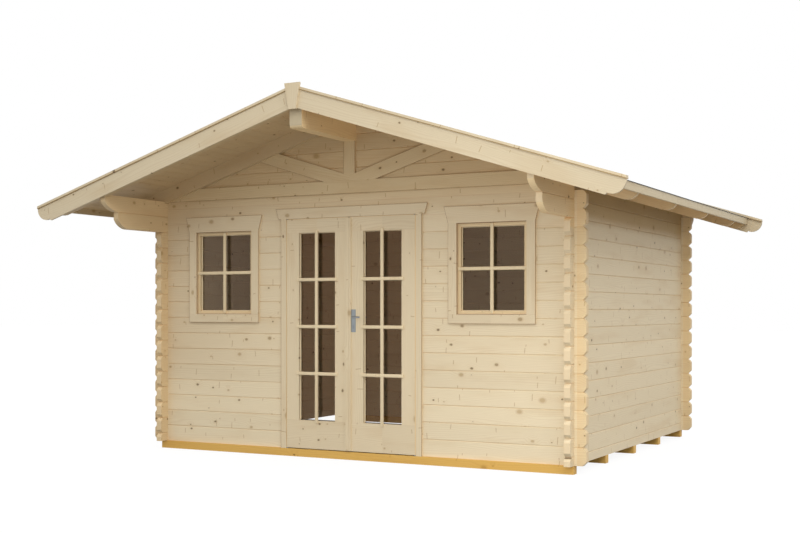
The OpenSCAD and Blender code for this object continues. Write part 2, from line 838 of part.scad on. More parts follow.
floor_joists();
front_wall_left();
front_wall_right();
front_top_log();
front_gable();
left_wall();
right_wall();
back_wall();
back_gable();
ridge_purlin();
rafters_left();
rafters_right();
eave_blocking();
roof_deck_left();
roof_deck_right();
roof_felt_left();
roof_felt_right();
fascia_boards();
bargeboard_front_left();
bargeboard_front_right();
bargeboard_back_left();
bargeboard_back_right();
edge_battens_left();
edge_battens_right();
finials();
gable_tie_board();
gable_king_post();
gable_strut_left();
gable_strut_right();
head_boards();
door_frame();
door_casing();
door_leaf_left();
door_leaf_right();
door_glass_left();
door_glass_right();
hinge_pins();
lock_plates();
door_lever();
window_casing_left();
window_casing_right();
window_sash_left();
window_sash_right();
window_glass_left();
window_glass_right();
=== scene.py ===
"""Looks of the garden house: spruce logs and boards, roofing felt, glass and door fittings.

Metres, +Z up, the front faces -Y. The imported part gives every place; pieces made here lie on it.
"""

import math

import bpy
import numpy as np
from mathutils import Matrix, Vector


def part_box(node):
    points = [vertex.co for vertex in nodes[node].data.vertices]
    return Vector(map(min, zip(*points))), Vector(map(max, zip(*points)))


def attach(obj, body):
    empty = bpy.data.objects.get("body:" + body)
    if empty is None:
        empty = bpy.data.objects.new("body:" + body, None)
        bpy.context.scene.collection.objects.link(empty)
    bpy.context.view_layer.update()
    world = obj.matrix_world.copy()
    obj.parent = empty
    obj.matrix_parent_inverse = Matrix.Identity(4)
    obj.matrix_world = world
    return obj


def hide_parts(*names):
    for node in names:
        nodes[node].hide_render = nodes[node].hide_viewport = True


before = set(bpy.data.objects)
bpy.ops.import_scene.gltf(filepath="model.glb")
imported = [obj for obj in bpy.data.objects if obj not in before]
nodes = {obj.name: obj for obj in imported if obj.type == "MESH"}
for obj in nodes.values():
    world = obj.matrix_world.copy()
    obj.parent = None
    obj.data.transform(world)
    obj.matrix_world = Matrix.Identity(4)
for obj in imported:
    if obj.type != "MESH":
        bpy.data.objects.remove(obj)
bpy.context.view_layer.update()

# ---------------------------------------------------------------- sizes of the house

LOG_H = 0.137
PITCH = math.radians(17.5)
COS, SIN, SLOPE = math.cos(PITCH), math.sin(PITCH), math.tan(PITCH)

HOUSE = "house"
LEAF_BODY = {-1: "door_leaf_left", 1: "door_leaf_right"}
SIDES = {-1: "left", 1: "right"}


def low_corner(node):
    return np.array(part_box(node)[0])


def high_corner(node):
    return np.array(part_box(node)[1])


wall_z = low_corner("front_top_log")[2] - 14 * LOG_H
front_y = low_corner("front_top_log")[1]
back_y = high_corner("back_gable")[1]
deck_top_z = high_corner("roof_deck_left")[2]
deck_front_y = low_corner("roof_deck_left")[1]
deck_back_y = high_corner("roof_deck_left")[1]
tail_x = high_corner("roof_deck_right")[0]
felt_edge_x = high_corner("roof_felt_right")[0]

# ---------------------------------------------------------------- meshes from arrays


def piece(name, points, faces, body, slot, material, smooth_angle=None):
    """A mesh object from an (n, 3) array of points and a list of faces, riding on a body."""
    mesh = bpy.data.meshes.new(name)
    mesh.from_pydata(np.asarray(points).reshape(-1, 3).tolist(), [], faces)
    mesh.update()
    made = bpy.data.objects.new(name, mesh)
    bpy.context.collection.objects.link(made)
    mesh.materials.append(material)
    if smooth_angle:
        mesh.shade_smooth()
        mesh.set_sharp_from_angle(angle=math.radians(smooth_angle))
    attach(made, body)
    return made


def ring_faces(rings, around, closed=False):
    """Faces of a tube of rings: face (i, j) joins points j and j + 1 of ring i to those of ring i + 1."""
    i, j = np.meshgrid(np.arange(rings if closed else rings - 1), np.arange(around), indexing="ij")
    i_next, j_next = (i + 1) % rings, (j + 1) % around
    here, ahead = i * around, i_next * around
    return np.stack([here + j, here + j_next, ahead + j_next, ahead + j], -1).reshape(-1, 4)


def cones(points, faces):
    """Six times the signed volume of the cones from the origin over an (n, k) array of k-sided faces."""
    corners = points[faces]
    return np.einsum("ik,ijk->", corners[:, 0], np.cross(corners[:, 1:-1], corners[:, 2:]))


def facing_out(points, sides, caps=None):
    """Points and faces of a closed solid, turned the other way round where its volume is below zero."""
    volume = cones(points, sides)
    faces = sides.tolist()
    if caps is not None:
        volume += cones(points, caps)
        faces += caps.tolist()
    return points, faces if volume > 0 else [face[::-1] for face in faces]


def loft(rings):
    """A solid through closed rings, an (n, m, 3) array, with a cap on the first and on the last."""
    rings = np.asarray(rings, float)
    count, around = rings.shape[:2]
    first = np.arange(around)
    caps = np.stack([first[::-1], first + (count - 1) * around])
    return facing_out(rings.reshape(-1, 3), ring_faces(count, around), caps)


def joined(solids):
    """One list of points and faces from many solids."""
    points, faces, start = [], [], 0
    for solid_points, solid_faces in solids:
        points.append(np.asarray(solid_points))
        faces += [[start + index for index in face] for face in solid_faces]
        start += len(solid_points)
    return np.concatenate(points), faces


def extruded(outline, y_low, y_high):
    """An outline of (x, z) points carried along Y from y_low to y_high."""
    x, z = np.asarray(outline, float).T
    return loft([np.stack([x, np.full(len(x), y), z], -1) for y in (y_low, y_high)])


def upright(outline, z_low, z_high):
    """An outline of (x, y) points carried up Z from z_low to z_high."""
    x, y = np.asarray(outline, float).T
    return loft([np.stack([x, y, np.full(len(x), z)], -1) for z in (z_low, z_high)])


def border(profile, x_low, x_high, z_low, z_high):
    """A moulding mitred round a rectangle: profile points (inset, y) run round its four corners.

    Corner k of ring point p lies at the rectangle's corner, moved inwards by p's inset on both axes.
    """
    inset, y = np.asarray(profile, float).T
    corners = [(x_low, z_low, 1, 1), (x_high, z_low, -1, 1),
               (x_high, z_high, -1, -1), (x_low, z_high, 1, -1)]
    rings = np.array([np.stack([x + a * inset, y, z + b * inset], -1) for x, z, a, b in corners])
    return facing_out(rings.reshape(-1, 3), ring_faces(4, len(inset), closed=True))


# ---------------------------------------------------------------- shader wiring


class Graph:
    """Wires shader nodes. Each method adds one node and gives its output socket."""

    def __init__(self, tree):
        self.tree = tree

    def add(self, kind, inputs=None, output=0, **settings):
        node = self.tree.nodes.new("ShaderNode" + kind)
        for key, value in settings.items():
            setattr(node, key, value)
        for key, value in (inputs or {}).items():
            if isinstance(value, bpy.types.NodeSocket):
                self.tree.links.new(value, node.inputs[key])
            else:
                node.inputs[key].default_value = value
        return node.outputs[output]

    def math(self, operation, a, b=0.0, c=0.0):
        return self.add("Math", {0: a, 1: b, 2: c}, operation=operation)

    def scaled(self, value, factor, plus=0.0):
        return self.math("MULTIPLY_ADD", value, factor, plus)

    def times(self, vector, factors):
        return self.add("VectorMath", {0: vector, 1: factors}, operation="MULTIPLY")

    def plus(self, a, b):
        return self.add("VectorMath", {0: a, 1: b}, operation="ADD")

    def ramp(self, value, low, high, to_low=0.0, to_high=1.0):
        """A smooth step of value from low to high."""
        inputs = {"Value": value, "From Min": low, "From Max": high, "To Min": to_low, "To Max": to_high}
        return self.add("MapRange", inputs, interpolation_type="SMOOTHSTEP")

    def blend(self, factor, a, b, kind="MIX"):
        return self.add("Mix", {0: factor, 6: a, 7: b}, 2, data_type="RGBA", blend_type=kind)

    def noise(self, vector, scale, detail=2.0, rough=0.5):
        return self.add("TexNoise", {"Vector": vector, "Scale": scale, "Detail": detail, "Roughness": rough})

    def split(self, vector):
        node = self.tree.nodes.new("ShaderNodeSeparateXYZ")
        self.tree.links.new(vector, node.inputs[0])
        return {"X": node.outputs[0], "Y": node.outputs[1], "Z": node.outputs[2]}

    def joint(self, x, y, z):
        return self.add("CombineXYZ", {0: x, 1: y, 2: z})


def material(name):
    """A new material with its graph and its Principled shader."""
    made = bpy.data.materials.new(name)
    made.use_nodes = True
    return made, Graph(made.node_tree), made.node_tree.nodes["Principled BSDF"]


def connect(graph, shader, **sockets):
    for key, socket in sockets.items():
        graph.tree.links.new(socket, shader.inputs[key.replace("_", " ")])


def show(graph, socket, kind="OUTPUT_MATERIAL"):
    """Makes a shader socket the surface of its material or world."""
    output = next(node for node in graph.tree.nodes if node.type == kind)
    graph.tree.links.new(socket, output.inputs["Surface"])


# ---------------------------------------------------------------- spruce

PALE_WOOD = (0.845, 0.71, 0.485, 1)
LATE_WOOD = (0.66, 0.49, 0.275, 1)
WARM_WOOD = (0.70, 0.515, 0.29, 1)
KNOT_RING = (0.56, 0.39, 0.20, 1)
KNOT_HEART = (0.21, 0.145, 0.075, 1)
KNOT_PALE = (0.52, 0.36, 0.18, 1)
SEAM_SHADE = (0.66, 0.42, 0.24, 1)
END_WOOD = (0.84, 0.70, 0.48, 1)

KNOT_CELL = 0.155
RING_STEP = 0.0125
SPIKE_W = 0.0048


def spruce_group():
    """Planed spruce. Grain is in metres: X along the grain, Y across the face, Z into the board.

    Growth rings are sine bands in Y, bent by slow noise and round the knots. A knot is a dark
    disc of random radius in a cell of a plane Voronoi pattern. White noise on the board's number
    shifts the pattern and the tone. A spike knot is a short line across the grain through a cell's
    middle. Edge is the way to the board's edge, End is 1 on an end face.
    """
    tree = bpy.data.node_groups.new("spruce", "ShaderNodeTree")
    for name, kind in (("Grain", "Vector"), ("Board", "Float"), ("Edge", "Float"), ("End", "Float"),
                       ("Tone", "Color"), ("Knots", "Float")):
        tree.interface.new_socket(name, in_out="INPUT", socket_type="NodeSocket" + kind)
    for name, kind in (("Color", "Color"), ("Roughness", "Float"), ("Height", "Float")):
        tree.interface.new_socket(name, in_out="OUTPUT", socket_type="NodeSocket" + kind)
    g = Graph(tree)
    given = tree.nodes.new("NodeGroupInput").outputs

    chance = tree.nodes.new("ShaderNodeTexWhiteNoise")
    chance.noise_dimensions = "1D"
    tree.links.new(given["Board"], chance.inputs["W"])
    luck = chance.outputs["Value"]
    place = g.plus(given["Grain"], g.times(chance.outputs["Color"], (9.0, 5.0, 3.0)))
    spot = g.split(place)

    # Knots
    cells = tree.nodes.new("ShaderNodeTexVoronoi")
    cells.voronoi_dimensions = "2D"
    cells.inputs["Scale"].default_value = 1 / KNOT_CELL
    tree.links.new(g.times(place, (0.72, 1.0, 0.0)), cells.inputs["Vector"])
    dice = g.split(cells.outputs["Color"])
    ragged = g.noise(place, 60.0, 1.0)
    away = g.scaled(cells.outputs["Distance"], KNOT_CELL)
    away = g.math("ADD", away, g.scaled(ragged, 0.005, -0.0025))
    pale = g.ramp(dice["Z"], 0.45, 0.75)
    radius = g.scaled(g.math("POWER", dice["X"], 2.2), 0.0080, 0.0028)
    radius = g.math("MULTIPLY", radius, g.scaled(pale, 0.8, 1.0))
    here = g.math("MULTIPLY", g.math("GREATER_THAN", dice["Y"], 0.40), given["Knots"])
    heart = g.math("MULTIPLY", here, g.ramp(away, radius, g.scaled(radius, 0.65)))
    ring = g.math("MULTIPLY", here, g.ramp(away, g.scaled(radius, 1.7), g.scaled(radius, 0.9)))
    bend = g.math("MULTIPLY", here, g.ramp(away, g.scaled(radius, 6.0), radius))

    # Spike knots: how far a point lies from its cell's middle, along and across the grain
    sticks = tree.nodes.new("ShaderNodeTexVoronoi")
    sticks.voronoi_dimensions = "2D"
    sticks.inputs["Scale"].default_value = 1.0
    stretched = g.times(place, (1 / 0.21, 1 / 0.12, 0.0))
    tree.links.new(stretched, sticks.inputs["Vector"])
    offset = g.add("VectorMath", {0: stretched, 1: sticks.outputs["Position"]}, operation="SUBTRACT")
    offset = g.split(g.times(offset, (0.21, 0.12, 0.0)))
    cast = g.split(sticks.outputs["Color"])
    lean = g.scaled(offset["Y"], g.scaled(cast["Z"], 0.30, -0.15), g.scaled(ragged, 0.004, -0.002))
    beside = g.math("ABSOLUTE", g.math("ADD", offset["X"], lean))
    reach = g.scaled(cast["Y"], 0.026, 0.008)
    spike = g.ramp(beside, SPIKE_W, SPIKE_W * 0.3)
    spike = g.math("MULTIPLY", spike, g.ramp(g.math("ABSOLUTE", offset["Y"]), reach, g.scaled(reach, 0.7)))
    chosen = g.math("MULTIPLY", g.math("GREATER_THAN", cast["X"], 0.52), given["Knots"])
    spike = g.math("MULTIPLY", spike, chosen)

    # Growth rings, fibres and slow changes of tone
    sway = g.noise(g.times(place, (0.55, 5.0, 5.0)), 1.0, 2.0)
    waves = g.scaled(spot["Y"], 1 / RING_STEP, g.scaled(sway, 16.0, g.scaled(bend, 1.6)))
    rings = g.math("POWER", g.scaled(g.math("SINE", g.scaled(waves, math.tau)), 0.5, 0.5), 2.5)
    fibre = g.noise(g.times(place, (9.0, 420.0, 420.0)), 1.0, 2.0, 0.6)
    patch = g.ramp(g.noise(g.times(place, (1.6, 9.0, 3.0)), 1.0, 3.0), 0.48, 0.74)

    wood = g.blend(g.scaled(rings, 0.24), PALE_WOOD, LATE_WOOD)
    wood = g.blend(g.scaled(patch, 0.34), wood, WARM_WOOD)
    wood = g.blend(g.scaled(bend, 0.12), wood, WARM_WOOD)
    wood = g.blend(g.scaled(spike, 0.75), wood, KNOT_RING)
    wood = g.blend(g.scaled(ring, 0.40), wood, KNOT_RING)
    knot = g.blend(pale, KNOT_HEART, KNOT_PALE)
    wood = g.blend(g.math("MULTIPLY", heart, g.scaled(pale, -0.30, 0.85)), wood, knot)

    # End grain: rings round a heart that lies outside the board
    ends = g.split(given["Grain"])
    outwards = g.joint(0.0, ends["Y"], g.scaled(ends["Z"], 1.0, 0.09))
    far = g.add("VectorMath", {0: outwards}, 1, operation="LENGTH")
    curls = g.scaled(g.math("SINE", g.scaled(far, math.tau / 0.004)), 0.5, 0.5)
    cut = g.blend(g.scaled(curls, 0.16), END_WOOD, LATE_WOOD)
    wood = g.blend(given["End"], wood, cut)

    seam = g.ramp(given["Edge"], 0.0042, 0.0006)
    wood = g.blend(g.scaled(seam, 0.30), wood, SEAM_SHADE)
    light = g.math("MULTIPLY", g.scaled(luck, 0.06, 0.97), g.scaled(fibre, 0.12, 0.94))
    wood = g.blend(1.0, wood, g.joint(light, light, light), "MULTIPLY")
    wood = g.blend(1.0, wood, given["Tone"], "MULTIPLY")

    rough = g.scaled(rings, -0.07, g.scaled(fibre, 0.16, 0.50))
    height = g.scaled(rings, 0.35, g.scaled(fibre, 0.45, g.scaled(heart, 0.5)))
    result = tree.nodes.new("NodeGroupOutput").inputs
    for name, socket in (("Color", wood), ("Roughness", rough), ("Height", height)):
        tree.links.new(socket, result[name])
    return tree


SPRUCE = spruce_group()
PLAIN = (1.0, 1.0, 1.0, 1)
# Painted shade under the gable, on the front and back walls' top logs
GABLE_TOP_SHADE = (0.86, 0.78, 0.66, 1)
PEACH = (1.0, 0.93, 0.81, 1)
FAINT_SEAM = 0.0022


def spruce(name, along, across, rows=None, boards=None, rails=(), tilt=0.0, tone=PLAIN, knots=1.0,
           seam=1.0, painted_shades=(), end_tone=None, faint=None):
    """A spruce finish whose grain runs along one axis.

    rows is (first seam, height) of boards counted across; boards is (axis, start, size) of boards
    counted along another axis. rails are (low, high) heights where the grain turns to run along X.
    tilt turns the grain down the slope of the roof, positive for the left side. painted_shades are
    (axis, from, to, tone), painted light and shade: over that stretch the tone turns to another.
    end_tone is the tone of the end faces, where it differs. faint is (axis, from, to): over that stretch the
    seams grow fainter.
    """
    made, g, shader = material(name)
    coordinates = made.node_tree.nodes.new("ShaderNodeTexCoord")
    position = coordinates.outputs["Object"]
    if tilt:
        position = g.add("Mapping", {"Vector": position, "Rotation": (0.0, tilt, 0.0)})
    axes = g.split(position)
    depth = next(axis for axis in "XYZ" if axis not in (along, across))
    grain = g.joint(axes[along], axes[across], axes[depth])
    number = g.scaled(axes[depth], 0.0)
    edge = 1.0
    if rows:
        count = g.scaled(axes[across], 1 / rows[1], -rows[0] / rows[1])
        number = g.math("FLOOR", count)
        inside = g.math("PINGPONG", count, 0.5)
        edge = g.scaled(inside, rows[1] / seam)
    if faint:
        edge = g.math("ADD", edge, g.ramp(axes[faint[0]], faint[1], faint[2], 0.0, FAINT_SEAM))
    if boards:
        axis, start, size = boards
        count = g.math("FLOOR", g.scaled(axes[axis], 1 / size, -start / size))
        number = g.math("ADD", number, g.scaled(count, 31.0))
    direction = {"X": (COS if tilt else 1.0, 0.0, math.copysign(SIN, tilt) if tilt else 0.0),
                 "Y": (0.0, 1.0, 0.0), "Z": (0.0, 0.0, 1.0)}[along]
    normal = coordinates.outputs["Normal"]
    facing = g.add("VectorMath", {0: normal, 1: direction}, 1, operation="DOT_PRODUCT")
    end = g.ramp(g.math("ABSOLUTE", facing), 0.80, 0.92)
    for low, high in rails:
        over, under = g.math("GREATER_THAN", axes["Z"], low), g.math("LESS_THAN", axes["Z"], high)
        inside = g.math("MULTIPLY", over, under)
        turned = g.joint(axes["X"], axes["Z"], axes["Y"])
        grain = g.add("Mix", {0: inside, 4: grain, 5: turned}, 1, data_type="VECTOR")
        number = g.math("ADD", number, g.scaled(inside, 7.0 + low))
        end = g.math("MULTIPLY", end, g.math("SUBTRACT", 1.0, inside))
        line = g.math("MINIMUM", g.math("ABSOLUTE", g.scaled(axes["Z"], 1.0, -low)),
                      g.math("ABSOLUTE", g.scaled(axes["Z"], 1.0, -high)))
        edge = g.math("MINIMUM", edge, g.scaled(line, 2.6))
    for axis, start, stop, other in painted_shades:
        tone = g.blend(g.ramp(axes[axis], start, stop), tone, other)
    if end_tone:
        tone = g.blend(end, tone, end_tone)
    group = g.tree.nodes.new("ShaderNodeGroup")
    group.node_tree = SPRUCE
    given = {"Grain": grain, "Board": number, "Edge": edge, "End": end, "Tone": tone, "Knots": knots}
    for key, value in given.items():
        if isinstance(value, bpy.types.NodeSocket):
            g.tree.links.new(value, group.inputs[key])
        else:
            group.inputs[key].default_value = value
    bump = g.add("Bump", {"Strength": 0.35, "Distance": 0.0012, "Height": group.outputs["Height"]})
    connect(g, shader, Base_Color=group.outputs["Color"], Roughness=group.outputs["Roughness"], Normal=bump)
    shader.inputs["Specular IOR Level"].default_value = 0.3
    return made


def finish_nodes(made, *names):
    """Gives CAD nodes their material."""
    for name in names:
        for place in nodes[name].material_slots:
            place.material = made


# Tones against the bare logs
PLANED = (0.95, 0.94, 0.93, 1)
EDGE_TONE = (0.87, 0.87, 0.87, 1)
# Painted shade on the fascia boards and eave blocking
EAVE_SHADE_TONE = (0.78, 0.78, 0.77, 1)
# Painted shade on the tie board, king post and struts under the gable
GABLE_BOARD_SHADE = (0.88, 0.82, 0.71, 1)
# Painted shade on the roof boards and left rafters seen from below
SOFFIT_SHADE_TONE = (0.84, 0.77, 0.67, 1)
# Rafters: painted shade on the left, a lighter painted tone on the right where more light falls
RAFTER_LIGHT_AND_SHADE = {-1: SOFFIT_SHADE_TONE, 1: (0.97, 0.87, 0.73, 1)}
TREATED = (0.93, 0.67, 0.245, 1)
WINDOW_TONE = (0.98, 0.91, 0.79, 1)
BAR_TONE = (1.0, 0.99, 0.95, 1)
LIP_TONE = (1.0, 0.87, 0.68, 1)

front_rows = (wall_z, LOG_H)
side_rows = (wall_z - LOG_H / 2, LOG_H)

# Painted light and shade, by place on the logs: shadow under the eaves and gable, lighter brackets, darker
# crossed ends on the left
BRACKET_SHADE_TONE = (0.96, 0.88, 0.76, 1)
BRACKET_LIGHT_TONE = (1.14, 1.05, 0.90, 1)
WALL_ENDS = (1.02, 0.98, 0.92, 1)
# Painted eave shadow: the side walls darken towards their tops under the eaves
EAVE_SHADOW_SHADES = (("Z", 1.86, 1.98, (0.68, 0.58, 0.41, 1)),)
# Painted tones on the brackets beyond the walls: painted shade on most, painted light on the right front
# bracket
LEFT_BRACKET_SHADES = (("Y", front_y + 0.008, front_y - 0.005, BRACKET_SHADE_TONE),
                 ("Y", back_y - 0.008, back_y + 0.005, BRACKET_SHADE_TONE))
RIGHT_BRACKET_LIGHT = (("Y", front_y + 0.008, front_y - 0.005, BRACKET_LIGHT_TONE),
                  ("Y", back_y - 0.008, back_y + 0.005, BRACKET_SHADE_TONE), ("Z", 1.86, 1.82, PLAIN))
# Painted shade towards the left end and under the gable, painted light near the foot of the front and back
# walls
FRONT_LIGHT_AND_SHADE = (("X", -0.5, -1.9, (0.89, 0.86, 0.83, 1)), ("Z", 0.95, 0.40, (1.02, 1.03, 1.04, 1)),
               ("Z", 1.92, 2.30, GABLE_TOP_SHADE))
# Crossed ends turn peach on the right and darker on the left; the difference between the sides is painted
# light and shade
CROSSED_END_SHADES = (("X", 1.945, 1.955, PEACH), ("X", -1.945, -1.955, (0.92, 0.81, 0.66, 1)))
# The front wall's seams grow fainter towards the right end: painted light
front_logs = spruce("spruce_front_logs", "X", "Z", rows=front_rows, faint=("X", 1.2, 1.6),
                    painted_shades=FRONT_LIGHT_AND_SHADE + CROSSED_END_SHADES)
finish_nodes(front_logs, "front_wall_left", "front_wall_right", "front_top_log", "front_gable")
back_logs = spruce("spruce_back_logs", "X", "Z", rows=front_rows, boards=("Y", 0.0, 3.0),
                   painted_shades=FRONT_LIGHT_AND_SHADE + CROSSED_END_SHADES)
finish_nodes(back_logs, "back_wall", "back_gable")
left_logs = spruce("spruce_left_logs", "Y", "Z", rows=side_rows, painted_shades=EAVE_SHADOW_SHADES + LEFT_BRACKET_SHADES)
finish_nodes(left_logs, "left_wall")
right_logs = spruce("spruce_right_logs", "Y", "Z", rows=side_rows, boards=("X", -5.0, 6.0),
                    painted_shades=EAVE_SHADOW_SHADES + RIGHT_BRACKET_LIGHT, end_tone=WALL_ENDS)
finish_nodes(right_logs, "right_wall")
# Painted light on the purlin's sides, painted shade on its end under the bargeboards
purlin_wood = spruce("spruce_ridge_purlin", "Y", "Z", knots=0.8, tone=(1.12, 1.02, 0.85, 1),
                     end_tone=(0.70, 0.70, 0.67, 1))
finish_nodes(purlin_wood, "ridge_purlin")

ENDS = ("Y", -3.0, 3.0)
# Height square to the slope, from which the painted shadow along the battens' lower edge is measured
batten_foot = deck_top_z * COS
for side, word in SIDES.items():
    slope = -side * PITCH
    wood = spruce(f"spruce_rafters_{word}", "X", "Z", boards=("Y", -0.1, 0.35), tilt=slope,
                  tone=RAFTER_LIGHT_AND_SHADE[side])
    finish_nodes(wood, f"rafters_{word}")
    # On the right the bargeboards darken towards the eave: painted shade
    wood = spruce(f"spruce_bargeboards_{word}", "X", "Z", boards=ENDS, tilt=slope, tone=EDGE_TONE,
                  painted_shades=(("X", 0.3, 2.4, (0.77, 0.77, 0.765, 1)),))
    finish_nodes(wood, f"bargeboard_front_{word}", f"bargeboard_back_{word}")
    # The battens' lower edge carries a dark brown band: a painted shadow line
    wood = spruce(f"spruce_edge_battens_{word}", "X", "Y", boards=ENDS, tilt=slope, tone=EDGE_TONE,
                  painted_shades=(("Z", batten_foot + 0.010, batten_foot + 0.007, (0.50, 0.40, 0.25, 1)),))
    finish_nodes(wood, f"edge_battens_{word}")
    wood = spruce(f"spruce_strut_{word}", "X", "Z", tilt=-slope, tone=GABLE_BOARD_SHADE)
    finish_nodes(wood, f"gable_strut_{word}")

eave_boards = spruce("spruce_eave_boards", "Y", "Z", boards=("X", 0.0, 3.0), tone=EAVE_SHADE_TONE)
finish_nodes(eave_boards, "fascia_boards", "eave_blocking")
finish_nodes(spruce("spruce_finials", "Z", "X", tone=EDGE_TONE, knots=0.0), "finials")
finish_nodes(spruce("spruce_tie_board", "X", "Z", tone=GABLE_BOARD_SHADE), "gable_tie_board")
finish_nodes(spruce("spruce_king_post", "Z", "X", tone=GABLE_BOARD_SHADE), "gable_king_post")
finish_nodes(spruce("spruce_head_boards", "X", "Z", boards=("X", -2.4, 1.6), tone=PLANED), "head_boards")
joist_wood = spruce("treated_joists", "X", "Z", boards=("Y", -1.6, 0.757), tone=TREATED, knots=0.8)
finish_nodes(joist_wood, "floor_joists")

# ---------------------------------------------------------------- door and windows in their woods

leaf_low, leaf_high = low_corner("door_leaf_right"), high_corner("door_leaf_right")
pane_low, pane_high = low_corner("door_glass_right"), high_corner("door_glass_right")
FAR = 9.0
leaf_rails = ((-FAR, pane_low[2]), (pane_high[2], FAR))
leaf_wood = spruce("spruce_door_leaves", "Z", "X", boards=("X", -0.31, 0.31), rails=leaf_rails, tone=PLANED)
finish_nodes(leaf_wood, "door_leaf_left", "door_leaf_right")

frame_wood = spruce("spruce_door_frame", "Z", "X", boards=("X", 0.0, 3.0),
                    rails=((-FAR, leaf_low[2]), (leaf_high[2], FAR)), tone=PLANED, knots=0.4)
finish_nodes(frame_wood, "door_frame")
finish_nodes(spruce("spruce_door_casing", "Z", "X", boards=("X", -3.0, 3.0), tone=PLANED), "door_casing")

CASING_W = 0.070
casing_low, casing_high = low_corner("window_casing_right"), high_corner("window_casing_right")
light_low, light_high = low_corner("window_glass_right"), high_corner("window_glass_right")
window_middle = (light_low[0] + light_high[0]) / 2
clear_low = casing_low[2] + CASING_W
for side, word in SIDES.items():
    halves = ("X", side * window_middle - 3.0, 3.0)
    casing = spruce(f"spruce_window_casing_{word}", "Z", "X", boards=halves, rails=((-FAR, clear_low),),
                    tone=PLANED)
    sash = spruce(f"spruce_window_sash_{word}", "Z", "X", boards=halves,
                  rails=((-FAR, light_low[2]), (light_high[2], FAR)), tone=WINDOW_TONE, knots=0.3)
    finish_nodes(casing, f"window_casing_{word}")
    finish_nodes(sash, f"window_sash_{word}")

# ---------------------------------------------------------------- glass, steel, felt


def bronze_glass(name, tint):
    """Glass: a smooth pane that lets light through and mirrors what is round it in a bronze tint."""
    made, g, shader = material(name)
    position = g.add("TexCoord", output=3)
    ripple = g.noise(g.times(position, (1.0, 1.0, 0.35)), 4.0, 1.0)
    bump = g.add("Bump", {"Strength": 0.03, "Distance": 0.002, "Height": ripple})
    shader.inputs["Base Color"].default_value = (0.97, 0.97, 0.96, 1)
    shader.inputs["Roughness"].default_value = 0.0
    shader.inputs["IOR"].default_value = 1.45
    shader.inputs["Transmission Weight"].default_value = 1.0
    shader.inputs["Specular Tint"].default_value = tint
    connect(g, shader, Normal=bump)
    passing = g.add("BsdfTransparent", {"Color": (0.76, 0.74, 0.71, 1)})
    path = g.tree.nodes.new("ShaderNodeLightPath").outputs
    lamp_ray = g.math("MAXIMUM", path["Is Shadow Ray"], path["Is Diffuse Ray"])
    mixed = g.add("MixShader", {0: lamp_ray, 1: shader.outputs[0], 2: passing})
    show(g, mixed)
    return made


def brushed_steel(name, colour, stretch):
    """Brushed steel: fine noise drawn out along one axis turns roughness, tone and bump."""
    made, g, shader = material(name)
    position = g.add("TexCoord", output=3)
    lines = g.noise(g.times(position, stretch), 1.0, 3.0, 0.65)
    cloud = g.noise(position, 35.0, 2.0)
    shade = g.scaled(lines, 0.22, g.scaled(cloud, 0.16, 0.80))
    tint = g.blend(1.0, g.joint(shade, shade, shade), colour, "MULTIPLY")
    bump = g.add("Bump", {"Strength": 0.12, "Distance": 0.0003, "Height": lines})
    connect(g, shader, Base_Color=tint, Roughness=g.scaled(lines, 0.22, 0.26), Normal=bump)
    shader.inputs["Metallic"].default_value = 1.0
    return made


def roofing_felt():
    """Mineral felt: pale and dark grains from fine Voronoi cells, with slow weathering down the slope."""
    made, g, shader = material("roofing_felt")
    position = g.add("TexCoord", output=3)
    grains = g.tree.nodes.new("ShaderNodeTexVoronoi")
    grains.inputs["Scale"].default_value = 420.0
    g.tree.links.new(position, grains.inputs["Vector"])
    fleck = g.split(grains.outputs["Color"])["X"]
    streak = g.ramp(g.noise(g.times(position, (1.2, 9.0, 1.2)), 1.0, 3.0), 0.35, 0.75)
    tone = g.blend(fleck, (0.060, 0.070, 0.085, 1), (0.135, 0.150, 0.170, 1))
    tone = g.blend(g.scaled(streak, 0.35), tone, (0.150, 0.155, 0.155, 1))
    lumps = g.scaled(grains.outputs["Distance"], -1.0, g.noise(position, 25.0, 2.0))
    bump = g.add("Bump", {"Strength": 0.5, "Distance": 0.0012, "Height": lumps})
    connect(g, shader, Base_Color=tone, Roughness=g.scaled(fleck, 0.14, 0.80), Normal=bump)
    return made


WINDOW_GLASS = bronze_glass("window_glass", (1.0, 0.68, 0.47, 1))
DOOR_GLASS = bronze_glass("door_glass", (0.98, 0.55, 0.31, 1))
PLATE_STEEL = brushed_steel("brushed_lock_plate", (0.30, 0.325, 0.335, 1), (900.0, 900.0, 12.0))
LEVER_STEEL = brushed_steel("brushed_lever", (0.28, 0.295, 0.31, 1), (14.0, 800.0, 800.0))
FELT = roofing_felt()

finish_nodes(DOOR_GLASS, "door_glass_left", "door_glass_right")
finish_nodes(WINDOW_GLASS, "window_glass_left", "window_glass_right")
finish_nodes(PLATE_STEEL, "lock_plates")
finish_nodes(LEVER_STEEL, "hinge_pins")

# ---------------------------------------------------------------- roof boards and felt

BOARD_W = 0.0947
GROOVE = 0.002
DECK_T = 0.017
FELT_GAP = 0.0003


def roof_line(along, height):
    """Points (x, z) on the right slope, a way along it from the ridge and a height square to its boards."""
    along = np.asarray(along, float)
    return np.stack([along * COS + height * SIN, deck_top_z - along * SIN + height * COS], -1)


def to_side(outline, side):
    """The right slope's outline, or its mirror image for the left."""
    return outline * (side, 1)


